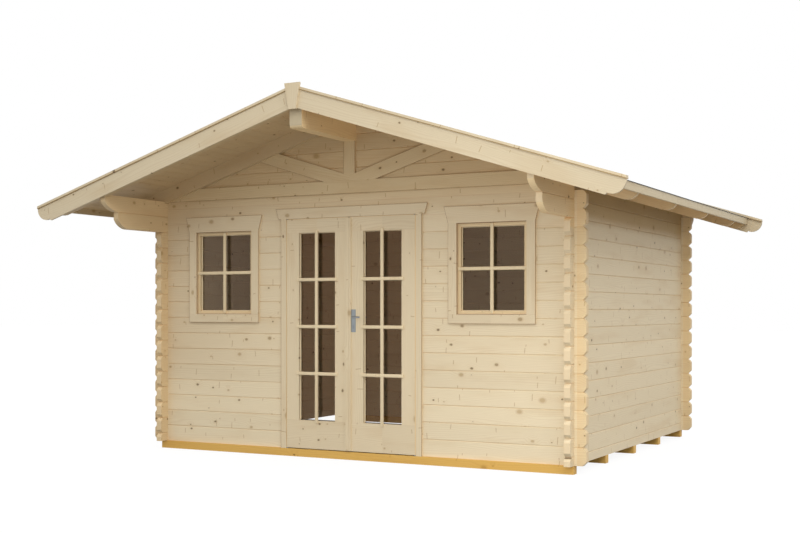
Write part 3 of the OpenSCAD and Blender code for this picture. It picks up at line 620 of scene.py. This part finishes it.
def roof_boards(side):
    """Tongued boards under the felt: their underside has a V groove every board's width."""
    length = tail_x / COS
    seams = np.arange(BOARD_W, length - BOARD_W / 2, BOARD_W)
    along = (seams[:, None] + np.array([-GROOVE, 0.0, GROOVE])).ravel()
    height = np.tile([0.0, GROOVE, 0.0], len(seams)) - DECK_T
    under = roof_line(along, 0.0) + height[:, None] * np.array([0.0, 1 / COS])
    top_end = (tail_x, deck_top_z - tail_x * SLOPE)
    drop = DECK_T / COS
    tail = [(tail_x, top_end[1] - drop), top_end]
    outline = np.concatenate([[(0.0, deck_top_z - drop)], under, tail, [(0.0, deck_top_z)]])
    return extruded(to_side(outline, side), deck_front_y, deck_back_y)


for side, word in SIDES.items():
    wood = spruce(f"spruce_roof_boards_{word}", "Y", "X", rows=(0.0, BOARD_W), tilt=-side * PITCH,
                  tone=SOFFIT_SHADE_TONE, seam=0.6)
    boards = piece(f"roof_boards_{word}", *roof_boards(side), HOUSE, "roof_wood", wood)
    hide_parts(f"roof_deck_{word}")

COURSE_W = 0.90
FELT_T = 0.003
LAP_T = 0.0014


def felt_courses(side):
    """Strips of felt laid along the eave: each lower edge is two sheets thick and laps the next strip."""
    length = felt_edge_x / COS
    laps = np.arange(length - COURSE_W, 0.2, -COURSE_W)[::-1]
    along = (laps[:, None] + np.array([0.0, 0.0015])).ravel()
    height = np.tile([FELT_T, FELT_T - LAP_T], len(laps))
    base = np.array([0.0, 1 / COS])
    top = roof_line(along, 0.0) + (height + FELT_GAP)[:, None] * base
    eave_z = deck_top_z - felt_edge_x * SLOPE
    ridge = [(0.0, deck_top_z + FELT_GAP / COS), (0.0, deck_top_z + (FELT_GAP + FELT_T) / COS)]
    eave = [(felt_edge_x, eave_z + (FELT_GAP + FELT_T) / COS), (felt_edge_x, eave_z + FELT_GAP / COS)]
    outline = np.concatenate([ridge, top, eave])
    return extruded(to_side(outline, side), deck_front_y, deck_back_y)


for side, word in SIDES.items():
    felt = piece(f"felt_courses_{word}", *felt_courses(side), HOUSE, "felt", FELT)
    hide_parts(f"roof_felt_{word}")

RIDGE_STRIP = 0.15


def ridge_strip():
    """A strip of felt folded over the ridge, between the edge battens."""
    low, high = FELT_GAP + FELT_T + 0.0002, FELT_GAP + 2 * FELT_T
    half = RIDGE_STRIP * COS
    edge_z = deck_top_z - half * SLOPE
    over = [(-half, edge_z + high), (0.0, deck_top_z + high), (half, edge_z + high)]
    outline = [(-half, edge_z + low), *over, (half, edge_z + low), (0.0, deck_top_z + low)]
    clear = 0.06
    return extruded(outline, deck_front_y + clear, deck_back_y - clear)


piece("felt_ridge_strip", *ridge_strip(), HOUSE, "felt", FELT)

# ---------------------------------------------------------------- glazing bars and beads

BAR_W = 0.0275
BAR_T = 0.0116
BAR_LAP = 0.0225
BAR_TAPER = 0.010
BAR_CROSS = 0.0004


def bar(start, end, y, width=BAR_W, proud=BAR_T):
    """A rounded glazing bar from start to end, both (x, z), on the plane y.

    Its section is half of a superellipse, (a/w)^4 + (b/t)^4 = 1, and its ends taper over 10 mm.
    """
    start, end = np.array(start), np.array(end)
    length = np.linalg.norm(end - start)
    run = (end - start) / length
    square = np.array([-run[1], run[0]])
    angle = np.linspace(0, math.pi, 13)
    across = np.sign(np.cos(angle)) * np.abs(np.cos(angle)) ** 0.5 * width / 2
    out = np.abs(np.sin(angle)) ** 0.5 * proud
    taper = np.array([0.0, 0.3, 0.65, 1.0]) * BAR_TAPER
    stations = np.concatenate([taper, length - taper[::-1]])
    swell = np.array([0.30, 0.62, 0.88, 1.0, 1.0, 0.88, 0.62, 0.30])
    centre = start + stations[:, None] * run
    flat = centre[:, None, :] + across[None, :, None] * square * (0.85 + 0.15 * swell)[:, None, None]
    depth = y - out[None, :] * swell[:, None]
    return loft(np.stack([flat[..., 0], depth, flat[..., 1]], -1))


def bars_over(x_low, x_high, z_low, z_high, y, rows):
    """An upright bar in the middle and one across at each division between rows."""
    middle = (x_low + x_high) / 2
    step = (z_high - z_low) / rows
    made = [bar((middle, z_low - BAR_LAP), (middle, z_high + BAR_LAP), y)]
    heights = z_low + step * np.arange(1, rows)
    made += [bar((x_low - BAR_LAP, z), (x_high + BAR_LAP, z), y - BAR_CROSS) for z in heights]
    return joined(made)


bar_wood = spruce("spruce_glazing_bars", "Z", "X", tone=BAR_TONE, knots=0.0)
bead_turn = np.linspace(0.0, math.pi / 2, 5)
BEAD_R = 0.006
BEAD = np.concatenate([[(0.0, 0.0)], BEAD_R * np.stack([np.cos(bead_turn), -np.sin(bead_turn)], -1)])

GLASS_DEPTH = 0.028
leaf_face_y = low_corner("door_glass_right")[1] - GLASS_DEPTH
sash_face_y = light_low[1] - GLASS_DEPTH
for side, word in SIDES.items():
    leaf_x = sorted((side * pane_low[0], side * pane_high[0]))
    bars = bars_over(*leaf_x, pane_low[2], pane_high[2], leaf_face_y, 4)
    piece(f"door_bars_{word}", *bars, LEAF_BODY[side], "trim_wood", bar_wood, 40)
    bead = border(BEAD + (0.0, pane_low[1]), *leaf_x, pane_low[2], pane_high[2])
    piece(f"door_beads_{word}", *bead, LEAF_BODY[side], "trim_wood", bar_wood)
    light_x = sorted((side * light_low[0], side * light_high[0]))
    bars = bars_over(*light_x, light_low[2], light_high[2], sash_face_y, 2)
    piece(f"window_bars_{word}", *bars, HOUSE, "trim_wood", bar_wood, 40)
    bead = border(BEAD + (0.0, light_low[1]), *light_x, light_low[2], light_high[2])
    piece(f"window_beads_{word}", *bead, HOUSE, "trim_wood", bar_wood)

# ---------------------------------------------------------------- painted shadow lines round boards and panes


def shadow_line_mastic(name, colour):
    """A rubbery strip for painted shadow lines: a dull colour, mottled by slow noise, with a soft skin."""
    made, g, shader = material(name)
    position = g.add("TexCoord", output=3)
    mottle = g.noise(position, 60.0, 3.0)
    shade = g.scaled(mottle, 0.3, 0.85)
    tint = g.blend(1.0, g.joint(shade, shade, shade), colour, "MULTIPLY")
    bump = g.add("Bump", {"Strength": 0.2, "Distance": 0.0004, "Height": mottle})
    connect(g, shader, Base_Color=tint, Roughness=g.scaled(mottle, 0.2, 0.6), Normal=bump)
    return made


# Dark strips that stand for shadow lines along board edges, round the sashes and at the panes' feet
BROWN_SHADOW_LINE = shadow_line_mastic("brown_board_shadow_line", (0.35, 0.20, 0.10, 1))
RED_SHADOW_LINE = shadow_line_mastic("red_brown_sash_shadow_line", (0.30, 0.135, 0.07, 1))
BLACK_SHADOW_LINE = shadow_line_mastic("black_pane_shadow_line", (0.03, 0.028, 0.026, 1))
SHADOW_LINE_W = 0.0021
SHADOW_LINE_T = 0.0010
SHADOW_LINE_BACK = 0.0024
SASH_SHADOW_LINE_W = 0.003
FOOT_SHADOW_LINE_H = 0.006
DOOR_SPLIT = 0.8


def board_corners(node, x_low=-FAR, x_high=FAR):
    """The corners (x, z) of a flat board of a node that lies between two x, in order round its middle."""
    mesh = nodes[node].data
    points = np.empty(len(mesh.vertices) * 3)
    mesh.vertices.foreach_get("co", points)
    flat = np.unique(points.reshape(-1, 3)[:, ::2].round(5), axis=0)
    flat = flat[(flat[:, 0] > x_low) & (flat[:, 0] < x_high)]
    way = flat - flat.mean(0)
    return flat[np.argsort(np.arctan2(way[:, 1], way[:, 0]))]


def shadow_line_round(corners, y_front):
    """A square dark strip along the front edge of a board, mitred at its corners: a painted shadow line.

    Each outer corner is the board's corner p moved to p + w (m + n) / (1 + m.n), where m and n are
    the outward normals of the two edges that meet there and w is the bead's width.
    """
    ahead = np.roll(corners, -1, axis=0) - corners
    ahead /= np.linalg.norm(ahead, axis=1)[:, None]
    normal = np.stack([ahead[:, 1], -ahead[:, 0]], -1)
    before = np.roll(normal, 1, axis=0)
    share = 1 + (normal * before).sum(1)
    outer = corners + SHADOW_LINE_W * (normal + before) / share[:, None]
    y_back = y_front + SHADOW_LINE_BACK
    section = [(corners, y_front), (outer, y_front), (outer, y_back), (corners, y_back)]
    rings = np.stack([np.stack([at[:, 0], np.full(len(at), y), at[:, 1]], -1) for at, y in section], 1)
    return facing_out(rings.reshape(-1, 3), ring_faces(len(corners), 4, closed=True))


def rectangle(x_low, x_high, z_low, z_high):
    return np.array([(x_low, z_low), (x_high, z_low), (x_high, z_high), (x_low, z_high)])


SHADOW_LINE_SET = 0.0003
# Dark strips round the boards' front edges: painted shadow lines where boards meet the logs
shadow_lines = []
for x_low, x_high in ((-FAR, -DOOR_SPLIT), (-DOOR_SPLIT, DOOR_SPLIT), (DOOR_SPLIT, FAR)):
    face_y = low_corner("head_boards")[1] + SHADOW_LINE_SET
    shadow_lines.append(shadow_line_round(board_corners("head_boards", x_low, x_high), face_y))
for node in ("window_casing_left", "window_casing_right", "door_casing"):
    low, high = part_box(node)
    shadow_lines.append(shadow_line_round(rectangle(low[0], high[0], low[2], high[2]), low[1] + SHADOW_LINE_SET))
for node in ("gable_tie_board", "gable_king_post", "gable_strut_left", "gable_strut_right"):
    shadow_lines.append(shadow_line_round(board_corners(node), low_corner(node)[1] + SHADOW_LINE_SET))
piece("board_shadow_lines", *joined(shadow_lines), HOUSE, "trim_wood", BROWN_SHADOW_LINE)

SASH_SHADOW_LINE = np.array([(0.0, 0.0), (0.0, -SHADOW_LINE_T), (SASH_SHADOW_LINE_W, -SHADOW_LINE_T), (SASH_SHADOW_LINE_W, 0.0)])
for side, word in SIDES.items():
    opening = sorted((side * (casing_low[0] + CASING_W), side * (casing_high[0] - CASING_W)))
    # A red-brown strip round the window opening: a painted shadow line between sash and casing
    sash_line = border(SASH_SHADOW_LINE + (0.0, sash_face_y), *opening, clear_low, casing_high[2])
    piece(f"sash_shadow_line_{word}", *sash_line, HOUSE, "trim_wood", RED_SHADOW_LINE)
    foot_x = sorted((side * pane_low[0], side * pane_high[0]))
    foot_z = pane_low[2] + FOOT_SHADOW_LINE_H / 2
    # A black strip along the foot of each door pane: a painted shadow line
    foot = bar((foot_x[0], foot_z), (foot_x[1], foot_z), pane_low[1] - 0.0045, FOOT_SHADOW_LINE_H, 0.0025)
    piece(f"pane_shadow_line_{word}", *foot, LEAF_BODY[side], "trim_wood", BLACK_SHADOW_LINE, 40)

# ---------------------------------------------------------------- laths at the leaves' edges

LIP_W = 0.0042
LIP_T = 0.003
LIP_SET = 0.0010
LIP_UNDER = 0.0028
HINGE_CLEAR = 0.016
lip_wood = spruce("spruce_leaf_lips", "Z", "X", tone=LIP_TONE, knots=0.0)


def leaf_lips(side):
    """Slim laths set back from the face round a leaf's edges, which narrow the gap to the frame."""
    y = leaf_face_y + LIP_SET + LIP_T
    meeting = side * (leaf_low[0] + LIP_UNDER)
    hinge = side * (leaf_high[0] + (LIP_W - LIP_UNDER) / 2)
    stop = side * (leaf_high[0] - HINGE_CLEAR)
    top = leaf_high[2] + LIP_W / 2
    upright_lip = bar((hinge, leaf_low[2]), (hinge, leaf_high[2]), y, LIP_W + LIP_UNDER, LIP_T)
    return joined([upright_lip, bar((meeting, top), (stop, top), y, LIP_W, LIP_T)])


for side, word in SIDES.items():
    piece(f"leaf_lips_{word}", *leaf_lips(side), LEAF_BODY[side], "trim_wood", lip_wood, 40)

STRIP_T = 0.0115
STRIP_EDGES = {-1: (-0.0300, 0.0027), 1: (0.0041, 0.0215)}


def meeting_strip(side):
    """A leaf's half of the cover strip where the leaves meet: a flat board with quarter-round edges."""
    turn = np.linspace(0.0, math.pi / 2, 4)
    radius = 0.0012
    inner, outer = STRIP_EDGES[side]
    front = leaf_face_y - STRIP_T
    right = np.stack([outer - radius + radius * np.cos(turn), front + radius - radius * np.sin(turn)], -1)
    left = np.stack([inner + radius - radius * np.sin(turn), front + radius - radius * np.cos(turn)], -1)
    back = leaf_face_y - 0.0002
    outline = np.concatenate([[(outer, back)], right, left, [(inner, back)]])
    return upright(outline, leaf_low[2] + 0.002, leaf_high[2] - 0.002)


strip_wood = spruce("spruce_meeting_strip", "Z", "X", tone=PLANED)
for side, word in SIDES.items():
    piece(f"meeting_strip_{word}", *meeting_strip(side), LEAF_BODY[side], "trim_wood", strip_wood, 40)

# ---------------------------------------------------------------- lever handle and lock

lever_low, lever_high = low_corner("door_lever"), high_corner("door_lever")
LOCK_X = 0.040
PLATE_GAP = 0.0004
lever_axis = np.array([LOCK_X, 0.0, (lever_low[2] + lever_high[2]) / 2])


def lever(outward, face):
    """One lever: an elliptic section swept out from the plate, round a bend and along to a blunt end.

    The path is straight, then a quarter circle of radius bend, then straight; the section grows
    from a round neck to a flat grip and closes at the end.
    """
    reach = abs(face - (lever_low[1] if outward < 0 else lever_high[1])) - 0.0072
    bend, length = 0.014, lever_high[0] - lever_axis[0]
    turn = np.linspace(0, math.pi / 2, 9)
    run = np.linspace(0.12, 1.0, 9) * (length - bend)
    tip = np.array([0.45, 0.75, 0.93, 1.0]) * 0.007
    run[-1] -= 0.007
    curve_out = reach - bend + bend * np.sin(turn)
    curve_side = bend * (1 - np.cos(turn))
    out = np.concatenate([[0.0, 0.5 * (reach - bend)], curve_out, np.full(len(run), reach)])
    side = np.concatenate([[0.0, 0.0], curve_side, bend + run])
    heading = np.concatenate([[0.0, 0.0], turn, np.full(len(run), math.pi / 2)])
    high = np.interp(side, [0.0, bend, length], [0.0058, 0.0066, 0.0072])
    thick = np.interp(side, [0.0, bend, length], [0.0058, 0.0056, 0.0046])
    last = len(side) - 1
    ends = [(side[last] + step, out[last], high[last] * size, thick[last] * size)
            for step, size in zip(tip, (0.93, 0.78, 0.52, 0.12))]
    side = np.concatenate([side, [end[0] for end in ends]])
    out = np.concatenate([out, [end[1] for end in ends]])
    high = np.concatenate([high, [end[2] for end in ends]])
    thick = np.concatenate([thick, [end[3] for end in ends]])
    heading = np.concatenate([heading, np.full(len(ends), math.pi / 2)])
    around = np.linspace(0, math.tau, 20, endpoint=False)
    level = high[:, None] * np.sin(around)
    flat = thick[:, None] * np.cos(around)
    x = lever_axis[0] + side[:, None] + flat * np.cos(heading)[:, None]
    y = face + outward * (out[:, None] - flat * np.sin(heading)[:, None])
    return loft(np.stack([x, y, lever_axis[2] + level], -1))


def turned(radii, ys, centre):
    """A round piece on an axis along Y: circles of the given radii at the given places."""
    around = np.linspace(0, math.tau, 24, endpoint=False)
    radii, ys = np.asarray(radii)[:, None], np.asarray(ys)[:, None]
    x = centre[0] + radii * np.cos(around)
    z = centre[2] + radii * np.sin(around)
    return loft(np.stack([x, ys + 0 * x, z], -1))


plate_front_y = low_corner("lock_plates")[1]
plate_back_y = high_corner("lock_plates")[1]
NECK = 0.006
handles = joined([
    lever(-1, plate_front_y - PLATE_GAP),
    lever(1, plate_back_y + PLATE_GAP),
    turned([0.0045, 0.0045], [plate_front_y - NECK, plate_back_y + NECK], lever_axis),
])
handle = piece("door_lever_handles", *handles, "door_lever", "steel", LEVER_STEEL, 40)
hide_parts("door_lever")


def rose(face, outward):
    """The collar that the lever turns in: a ring with a rounded rim, standing 5 mm off the plate."""
    around = np.linspace(0, math.tau, 28, endpoint=False)
    radius = np.array([0.0070, 0.0120, 0.0125, 0.0120, 0.0100, 0.0070])
    off = np.array([0.0, 0.0, 0.0015, 0.0035, 0.0048, 0.0050])
    x = lever_axis[0] + radius[:, None] * np.cos(around)
    z = lever_axis[2] + radius[:, None] * np.sin(around)
    rings = np.stack([x, face + outward * off[:, None] + 0 * x, z], -1)
    return facing_out(rings.reshape(-1, 3), ring_faces(len(radius), len(around), closed=True))


roses = joined([rose(plate_front_y, -1), rose(plate_back_y, 1)])
piece("lever_roses", *roses, LEAF_BODY[1], "steel", PLATE_STEEL, 40)

KEY_DROP = 0.072


def keyhole(face, outward):
    """A lock cylinder: a circle over a narrower tail, standing 3 mm off the plate."""
    turn = np.linspace(-0.30 * math.pi, 1.30 * math.pi, 17)
    head = np.stack([0.0085 * np.cos(turn), 0.0085 * np.sin(turn)], -1)
    foot_turn = np.linspace(math.pi, math.tau, 9)
    foot = np.stack([0.005 * np.cos(foot_turn), -0.019 + 0.005 * np.sin(foot_turn)], -1)
    outline = np.concatenate([head, foot]) + (lever_axis[0], lever_axis[2] - KEY_DROP)
    centre = outline.mean(0)
    rings = []
    for size, off in ((1.0, 0.0), (1.0, 0.0025), (0.93, 0.0030)):
        x, z = (centre + (outline - centre) * size).T
        rings.append(np.stack([x, np.full(len(x), face + outward * off), z], -1))
    return loft(rings)


cylinders = joined([keyhole(plate_front_y, -1), keyhole(plate_back_y, 1)])
piece("lock_cylinders", *cylinders, LEAF_BODY[1], "steel", LEVER_STEEL)

# ---------------------------------------------------------------- floor, light and camera


def white_in_view(graph):
    """1 for rays from the camera and for what glass and metal show, else 0."""
    path = graph.tree.nodes.new("ShaderNodeLightPath").outputs
    seen_ray = graph.math("MAXIMUM", path["Is Camera Ray"], path["Is Glossy Ray"])
    return graph.math("MAXIMUM", seen_ray, path["Is Transmission Ray"])


FLOOR_SHARE = 0.85
FLOOR_GLOW = 1.08
FLOOR_SEEN = 0.70
FLOOR_BOUNCE = 0.20


def pale_floor():
    """A wide plain floor, white in view apart from the house's shadow, that throws little light back."""
    half, level = 60.0, -0.0012
    corners = [(-half, -half, level), (half, -half, level), (half, half, level), (-half, half, level)]
    mesh = bpy.data.meshes.new("floor")
    mesh.from_pydata(corners, [], [(0, 1, 2, 3)])
    floor = bpy.data.objects.new("floor", mesh)
    bpy.context.collection.objects.link(floor)
    made, g, shader = material("pale_floor")
    shader.inputs["Roughness"].default_value = 0.9
    seen = white_in_view(g)
    grey = g.scaled(seen, FLOOR_SEEN - FLOOR_BOUNCE, FLOOR_BOUNCE)
    connect(g, shader, Base_Color=g.joint(grey, grey, grey))
    glow = g.add("Emission", {"Color": (1.0, 1.0, 1.0, 1), "Strength": FLOOR_GLOW})
    share = g.scaled(seen, FLOOR_SHARE)
    mixed = g.add("MixShader", {0: share, 1: shader.outputs[0], 2: glow})
    show(g, mixed)
    mesh.materials.append(made)


SKY_LIGHT = 1.04
# Each lamp: name, power in watts, width, place, and the point that it faces
LAMPS = (
    ("soft_key", 98.0, 3.0, (4.55, -6.64, 6.74), (1.0, -0.5, 1.2)),
    ("soft_side", 90.0, 3.0, (7.14, -4.05, 6.74), (1.0, -0.5, 1.2)),
    ("soft_fill", 25.0, 1.5, (2.30, -4.60, 0.80), (1.6, -1.4, 1.2)),
)


def lamp(name, power, width, place, aim):
    """A round area lamp turned to face a point."""
    data = bpy.data.lights.new(name, "AREA")
    data.shape = "DISK"
    data.size = width
    data.energy = power
    made = bpy.data.objects.new(name, data)
    bpy.context.collection.objects.link(made)
    made.location = place
    x, y, z = np.array(aim) - np.array(place)
    made.rotation_euler = (math.atan2(math.hypot(x, y), -z), 0.0, math.atan2(y, x) - math.pi / 2)


def studio():
    """A white sky all round, two large soft lamps high on the right and a weak one low in front."""
    world = bpy.data.worlds.new("studio")
    world.use_nodes = True
    bpy.context.scene.world = world
    g = Graph(world.node_tree)
    background = world.node_tree.nodes["Background"]
    lit = g.add("Background", {"Color": (1.0, 1.0, 1.0, 1), "Strength": SKY_LIGHT})
    background.inputs["Color"].default_value = (1.0, 1.0, 1.0, 1)
    background.inputs["Strength"].default_value = 1.0
    mixed = g.add("MixShader", {0: white_in_view(g), 1: lit, 2: background.outputs[0]})
    show(g, mixed, "OUTPUT_WORLD")
    for settings in LAMPS:
        lamp(*settings)


def camera():
    """The view from the right of the front, at eye level, with the lens raised for upright walls."""
    data = bpy.data.cameras.new("camera")
    data.sensor_width = 36.0
    data.lens = 54.34
    data.shift_y = 0.0542
    data.clip_end = 200.0
    made = bpy.data.objects.new("camera", data)
    bpy.context.collection.objects.link(made)
    made.location = (4.9778, -9.9227, 1.2278)
    made.rotation_euler = (math.radians(90), 0.0, math.radians(27.806))
    bpy.context.scene.camera = made


pale_floor()
studio()
camera()
bpy.context.scene.view_settings.view_transform = "Standard"
